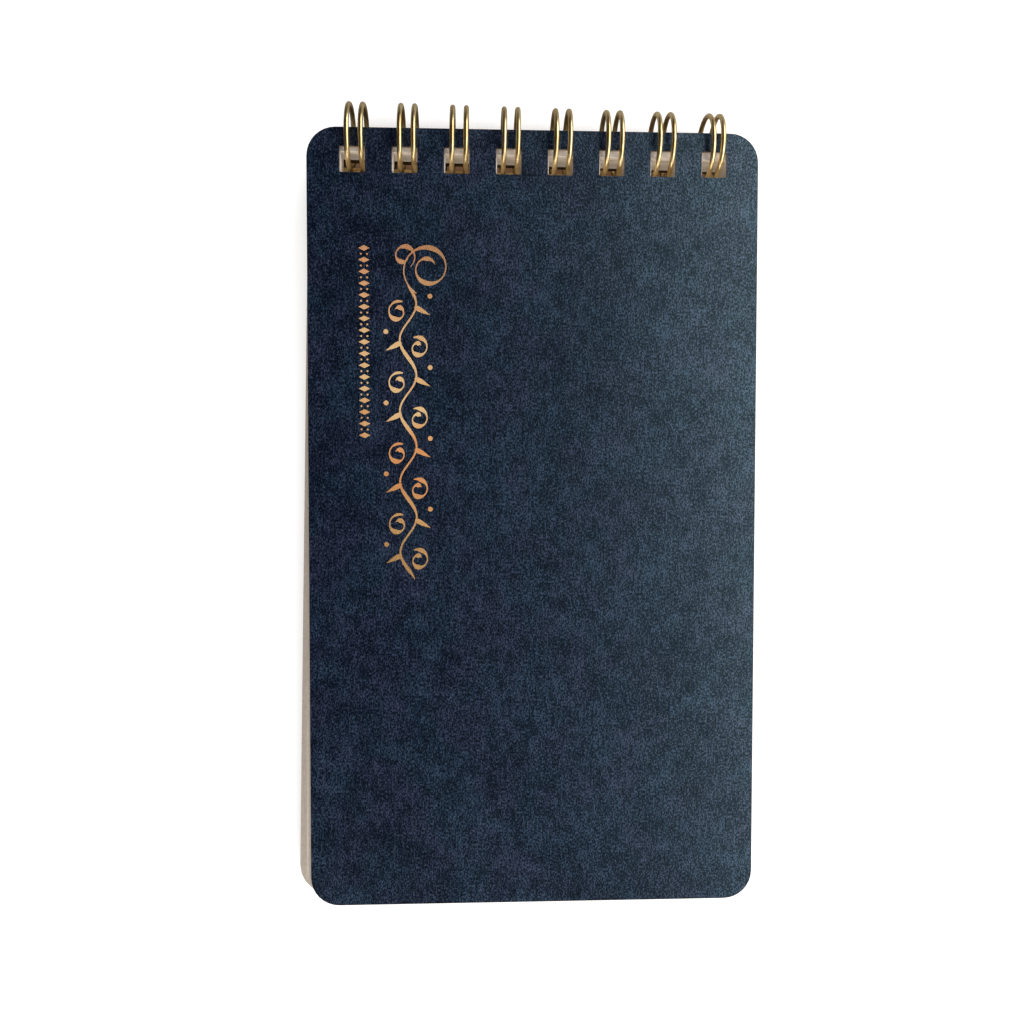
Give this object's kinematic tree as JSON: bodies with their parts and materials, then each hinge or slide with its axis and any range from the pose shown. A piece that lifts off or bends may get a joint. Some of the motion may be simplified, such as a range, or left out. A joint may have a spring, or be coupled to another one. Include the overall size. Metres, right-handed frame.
{
  "type": "pocket notebook",
  "caption": "Pocket notebook with card covers and loose paper leaves, rounded corners, and a twin-loop wire binding along its short top edge.",
  "frame": {"origin": "centre of the back cover's outer face", "axes": "+Y up the page to the wire binding, +Z out of the front cover, +X to the right seen from the front"},
  "size_m": [0.0762, 0.1335, 0.0111],
  "materials": {
    "gold_wire": "bright gold-coloured lacquered wire",
    "front_card": "matt navy card with a fine mottled grain and a foil ornament",
    "back_card": "matt navy card with a fine mottled grain",
    "paper": "uncoated cream writing paper"
  },
  "bodies": {
    "binding_wire": {"binding_wire": "gold_wire"},
    "front_cover": {"front_cover": "front_card"},
    "back_cover": {"back_cover": "back_card"},
    "leaf_01": {"leaf_01": "paper"},
    "leaf_02": {"leaf_02": "paper"},
    "leaf_03": {"leaf_03": "paper"},
    "leaf_04": {"leaf_04": "paper"},
    "leaf_05": {"leaf_05": "paper"},
    "leaf_06": {"leaf_06": "paper"},
    "leaf_07": {"leaf_07": "paper"},
    "leaf_08": {"leaf_08": "paper"},
    "leaf_09": {"leaf_09": "paper"},
    "leaf_10": {"leaf_10": "paper"},
    "leaf_11": {"leaf_11": "paper"},
    "leaf_12": {"leaf_12": "paper"},
    "leaf_13": {"leaf_13": "paper"},
    "leaf_14": {"leaf_14": "paper"},
    "leaf_15": {"leaf_15": "paper"},
    "leaf_16": {"leaf_16": "paper"},
    "leaf_17": {"leaf_17": "paper"},
    "leaf_18": {"leaf_18": "paper"},
    "leaf_19": {"leaf_19": "paper"},
    "leaf_20": {"leaf_20": "paper"},
    "leaf_21": {"leaf_21": "paper"},
    "leaf_22": {"leaf_22": "paper"},
    "leaf_23": {"leaf_23": "paper"},
    "leaf_24": {"leaf_24": "paper"},
    "leaf_25": {"leaf_25": "paper"},
    "leaf_26": {"leaf_26": "paper"},
    "leaf_27": {"leaf_27": "paper"},
    "leaf_28": {"leaf_28": "paper"},
    "leaf_29": {"leaf_29": "paper"},
    "leaf_30": {"leaf_30": "paper"},
    "leaf_31": {"leaf_31": "paper"},
    "leaf_32": {"leaf_32": "paper"},
    "leaf_33": {"leaf_33": "paper"},
    "leaf_34": {"leaf_34": "paper"},
    "leaf_35": {"leaf_35": "paper"},
    "leaf_36": {"leaf_36": "paper"},
    "leaf_37": {"leaf_37": "paper"}
  },
  "joints": [
    {"name": "back_cover_turn", "type": "hinge", "parent": "binding_wire", "child": "back_cover", "pos_m": [0, 0.064, 0.00315], "axis": [1, 0, 0], "range_deg": [0, 180]},
    {"name": "leaf_37_turn", "type": "hinge", "parent": "binding_wire", "child": "leaf_37", "pos_m": [0, 0.064, 0.00315], "axis": [-1, 0, 0], "range_deg": [0, 180]},
    {"name": "leaf_36_turn", "type": "hinge", "parent": "leaf_37", "child": "leaf_36", "pos_m": [0, 0.064, 0.00315], "axis": [-1, 0, 0], "range_deg": [0, 180]},
    {"name": "leaf_35_turn", "type": "hinge", "parent": "leaf_36", "child": "leaf_35", "pos_m": [0, 0.064, 0.00315], "axis": [-1, 0, 0], "range_deg": [0, 180]},
    {"name": "leaf_34_turn", "type": "hinge", "parent": "leaf_35", "child": "leaf_34", "pos_m": [0, 0.064, 0.00315], "axis": [-1, 0, 0], "range_deg": [0, 180]},
    {"name": "leaf_33_turn", "type": "hinge", "parent": "leaf_34", "child": "leaf_33", "pos_m": [0, 0.064, 0.00315], "axis": [-1, 0, 0], "range_deg": [0, 180]},
    {"name": "leaf_32_turn", "type": "hinge", "parent": "leaf_33", "child": "leaf_32", "pos_m": [0, 0.064, 0.00315], "axis": [-1, 0, 0], "range_deg": [0, 180]},
    {"name": "leaf_31_turn", "type": "hinge", "parent": "leaf_32", "child": "leaf_31", "pos_m": [0, 0.064, 0.00315], "axis": [-1, 0, 0], "range_deg": [0, 180]},
    {"name": "leaf_30_turn", "type": "hinge", "parent": "leaf_31", "child": "leaf_30", "pos_m": [0, 0.064, 0.00315], "axis": [-1, 0, 0], "range_deg": [0, 180]},
    {"name": "leaf_29_turn", "type": "hinge", "parent": "leaf_30", "child": "leaf_29", "pos_m": [0, 0.064, 0.00315], "axis": [-1, 0, 0], "range_deg": [0, 180]},
    {"name": "leaf_28_turn", "type": "hinge", "parent": "leaf_29", "child": "leaf_28", "pos_m": [0, 0.064, 0.00315], "axis": [-1, 0, 0], "range_deg": [0, 180]},
    {"name": "leaf_27_turn", "type": "hinge", "parent": "leaf_28", "child": "leaf_27", "pos_m": [0, 0.064, 0.00315], "axis": [-1, 0, 0], "range_deg": [0, 180]},
    {"name": "leaf_26_turn", "type": "hinge", "parent": "leaf_27", "child": "leaf_26", "pos_m": [0, 0.064, 0.00315], "axis": [-1, 0, 0], "range_deg": [0, 180]},
    {"name": "leaf_25_turn", "type": "hinge", "parent": "leaf_26", "child": "leaf_25", "pos_m": [0, 0.064, 0.00315], "axis": [-1, 0, 0], "range_deg": [0, 180]},
    {"name": "leaf_24_turn", "type": "hinge", "parent": "leaf_25", "child": "leaf_24", "pos_m": [0, 0.064, 0.00315], "axis": [-1, 0, 0], "range_deg": [0, 180]},
    {"name": "leaf_23_turn", "type": "hinge", "parent": "leaf_24", "child": "leaf_23", "pos_m": [0, 0.064, 0.00315], "axis": [-1, 0, 0], "range_deg": [0, 180]},
    {"name": "leaf_22_turn", "type": "hinge", "parent": "leaf_23", "child": "leaf_22", "pos_m": [0, 0.064, 0.00315], "axis": [-1, 0, 0], "range_deg": [0, 180]},
    {"name": "leaf_21_turn", "type": "hinge", "parent": "leaf_22", "child": "leaf_21", "pos_m": [0, 0.064, 0.00315], "axis": [-1, 0, 0], "range_deg": [0, 180]},
    {"name": "leaf_20_turn", "type": "hinge", "parent": "leaf_21", "child": "leaf_20", "pos_m": [0, 0.064, 0.00315], "axis": [-1, 0, 0], "range_deg": [0, 180]},
    {"name": "leaf_19_turn", "type": "hinge", "parent": "leaf_20", "child": "leaf_19", "pos_m": [0, 0.064, 0.00315], "axis": [-1, 0, 0], "range_deg": [0, 180]},
    {"name": "leaf_18_turn", "type": "hinge", "parent": "leaf_19", "child": "leaf_18", "pos_m": [0, 0.064, 0.00315], "axis": [-1, 0, 0], "range_deg": [0, 180]},
    {"name": "leaf_17_turn", "type": "hinge", "parent": "leaf_18", "child": "leaf_17", "pos_m": [0, 0.064, 0.00315], "axis": [-1, 0, 0], "range_deg": [0, 180]},
    {"name": "leaf_16_turn", "type": "hinge", "parent": "leaf_17", "child": "leaf_16", "pos_m": [0, 0.064, 0.00315], "axis": [-1, 0, 0], "range_deg": [0, 180]},
    {"name": "leaf_15_turn", "type": "hinge", "parent": "leaf_16", "child": "leaf_15", "pos_m": [0, 0.064, 0.00315], "axis": [-1, 0, 0], "range_deg": [0, 180]},
    {"name": "leaf_14_turn", "type": "hinge", "parent": "leaf_15", "child": "leaf_14", "pos_m": [0, 0.064, 0.00315], "axis": [-1, 0, 0], "range_deg": [0, 180]},
    {"name": "leaf_13_turn", "type": "hinge", "parent": "leaf_14", "child": "leaf_13", "pos_m": [0, 0.064, 0.00315], "axis": [-1, 0, 0], "range_deg": [0, 180]},
    {"name": "leaf_12_turn", "type": "hinge", "parent": "leaf_13", "child": "leaf_12", "pos_m": [0, 0.064, 0.00315], "axis": [-1, 0, 0], "range_deg": [0, 180]},
    {"name": "leaf_11_turn", "type": "hinge", "parent": "leaf_12", "child": "leaf_11", "pos_m": [0, 0.064, 0.00315], "axis": [-1, 0, 0], "range_deg": [0, 180]},
    {"name": "leaf_10_turn", "type": "hinge", "parent": "leaf_11", "child": "leaf_10", "pos_m": [0, 0.064, 0.00315], "axis": [-1, 0, 0], "range_deg": [0, 180]},
    {"name": "leaf_09_turn", "type": "hinge", "parent": "leaf_10", "child": "leaf_09", "pos_m": [0, 0.064, 0.00315], "axis": [-1, 0, 0], "range_deg": [0, 180]},
    {"name": "leaf_08_turn", "type": "hinge", "parent": "leaf_09", "child": "leaf_08", "pos_m": [0, 0.064, 0.00315], "axis": [-1, 0, 0], "range_deg": [0, 180]},
    {"name": "leaf_07_turn", "type": "hinge", "parent": "leaf_08", "child": "leaf_07", "pos_m": [0, 0.064, 0.00315], "axis": [-1, 0, 0], "range_deg": [0, 180]},
    {"name": "leaf_06_turn", "type": "hinge", "parent": "leaf_07", "child": "leaf_06", "pos_m": [0, 0.064, 0.00315], "axis": [-1, 0, 0], "range_deg": [0, 180]},
    {"name": "leaf_05_turn", "type": "hinge", "parent": "leaf_06", "child": "leaf_05", "pos_m": [0, 0.064, 0.00315], "axis": [-1, 0, 0], "range_deg": [0, 180]},
    {"name": "leaf_04_turn", "type": "hinge", "parent": "leaf_05", "child": "leaf_04", "pos_m": [0, 0.064, 0.00315], "axis": [-1, 0, 0], "range_deg": [0, 180]},
    {"name": "leaf_03_turn", "type": "hinge", "parent": "leaf_04", "child": "leaf_03", "pos_m": [0, 0.064, 0.00315], "axis": [-1, 0, 0], "range_deg": [0, 180]},
    {"name": "leaf_02_turn", "type": "hinge", "parent": "leaf_03", "child": "leaf_02", "pos_m": [0, 0.064, 0.00315], "axis": [-1, 0, 0], "range_deg": [0, 180]},
    {"name": "leaf_01_turn", "type": "hinge", "parent": "leaf_02", "child": "leaf_01", "pos_m": [0, 0.064, 0.00315], "axis": [-1, 0, 0], "range_deg": [0, 180]},
    {"name": "front_cover_turn", "type": "hinge", "parent": "leaf_01", "child": "front_cover", "pos_m": [0, 0.064, 0.00315], "axis": [-1, 0, 0], "range_deg": [0, 180]}
  ]
}
